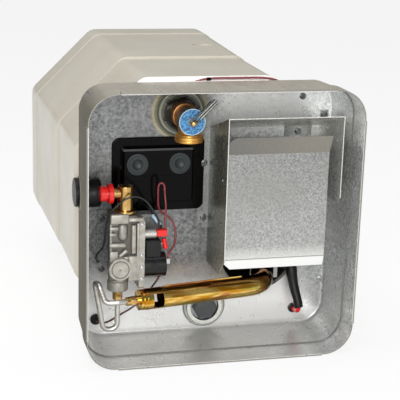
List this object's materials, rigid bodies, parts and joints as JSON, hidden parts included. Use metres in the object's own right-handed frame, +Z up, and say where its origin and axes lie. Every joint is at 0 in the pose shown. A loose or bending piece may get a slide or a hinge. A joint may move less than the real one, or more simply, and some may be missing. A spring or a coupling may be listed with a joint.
{
  "type": "caravan water heater",
  "caption": "Boxy gas storage water heater for a caravan wall: open galvanised control housing with valve, burner and flue deflector in front of an octagonal jacketed tank.",
  "frame": {"origin": "under the middle of the whole heater, on the plane it stands on", "axes": "+X to the right seen from the open front, +Y to the back, +Z up"},
  "size_m": [0.3346, 0.495, 0.3307],
  "materials": {
    "zinc_sheet": "hot-dip galvanised, spangled",
    "jacket_shell": "smooth moulded, slightly glossy",
    "foam": "porous foam",
    "tank_metal": "as rolled",
    "flue_metal": "heat darkened",
    "yellow_brass": "machined",
    "black_rubber": "moulded",
    "grey_rubber": "moulded, satin",
    "black_plastic": "moulded, glossy",
    "red_plastic": "moulded",
    "blue_tag": "printed blue, bare of lettering",
    "lever_steel": "zinc plated",
    "bright_steel": "plated",
    "valve_casting": "die cast, blasted",
    "gold_chromate": "yellow chromate on steel",
    "soft_aluminium": "drawn tube",
    "plug_plastic": "moulded",
    "white_ceramic": "glazed",
    "red_lead": "cable insulation",
    "black_lead": "cable insulation",
    "grey_lead": "cable insulation"
  },
  "bodies": {
    "heater": {"control_housing": "zinc_sheet", "jacket_front_shell": "jacket_shell", "jacket_rear_shell": "jacket_shell", "foam_front": "foam", "foam_rear": "foam", "tank_shell": "tank_metal", "flue_tube": "flue_metal", "hot_nipple": "bright_steel", "cold_nipple": "bright_steel", "drain_port_ring": "black_rubber", "drain_spud": "tank_metal", "drain_plug": "plug_plastic", "anode_rod": "soft_aluminium", "relief_port_ring": "black_rubber", "relief_nipple": "yellow_brass", "relief_valve_body": "yellow_brass", "relief_tag": "blue_tag", "relief_spring": "bright_steel", "reset_base": "black_plastic", "reset_cover": "black_plastic", "limit_switch_left": "black_plastic", "limit_switch_right": "black_plastic", "gas_valve_body": "valve_casting", "valve_side_plate": "black_plastic", "valve_screws": "bright_steel", "solenoid_coil": "black_plastic", "coil_block": "black_plastic", "core_tube": "bright_steel", "coil_terminals": "yellow_brass", "terminal_boots": "grey_rubber", "valve_bracket": "zinc_sheet", "inlet_elbow": "yellow_brass", "inlet_cap": "red_plastic", "manifold_nut": "yellow_brass", "manifold_tube": "soft_aluminium", "orifice_holder": "yellow_brass", "burner_collar": "gold_chromate", "burner_tube": "gold_chromate", "electrode_insulator": "white_ceramic", "electrode_tip": "bright_steel", "electrode_clip": "bright_steel", "spark_boot": "black_rubber", "spark_lead_end": "red_plastic", "flue_box": "zinc_sheet", "exhaust_deflector": "zinc_sheet", "deflector_rivets": "soft_aluminium", "housing_screws": "bright_steel", "gas_line_grommet": "black_rubber", "wire_grommets": "black_rubber", "ground_lead": "grey_lead", "sensor_lead": "black_lead", "jumper_lead": "red_lead", "supply_lead": "red_lead", "power_lead": "red_lead"},
    "stem": {"relief_stem": "yellow_brass", "lever_pin": "bright_steel"},
    "lever": {"relief_lever": "lever_steel"},
    "button_left": {"reset_button_left": "grey_rubber"},
    "button_right": {"reset_button_right": "grey_rubber"},
    "plunger": {"solenoid_plunger": "bright_steel"}
  },
  "joints": [
    {"name": "stem_slide", "type": "slide", "parent": "heater", "child": "stem", "axis": [0, -1, 0], "range_m": [0, 0.003], "stiffness_N_per_m": 20, "springref_m": -0.001},
    {"name": "lever_hinge", "type": "hinge", "parent": "stem", "child": "lever", "pos_m": [-0.036, -0.2179, 0.2849], "axis": [0.7071, 0, -0.7071], "range_deg": [0, 90]},
    {"name": "left_button_slide", "type": "slide", "parent": "heater", "child": "button_left", "axis": [0, 1, 0], "range_m": [0, 0.0025], "stiffness_N_per_m": 400, "springref_m": -0.001},
    {"name": "right_button_slide", "type": "slide", "parent": "heater", "child": "button_right", "axis": [0, 1, 0], "range_m": [0, 0.0025], "stiffness_N_per_m": 400, "springref_m": -0.001},
    {"name": "plunger_slide", "type": "slide", "parent": "heater", "child": "plunger", "axis": [1, 0, 0], "range_m": [0, 0.002], "stiffness_N_per_m": 400, "springref_m": -0.001}
  ],
  "couplings": [
    {"joint": "lever_hinge", "follows": "stem_slide", "rad_per_m": 523.59}
  ]
}
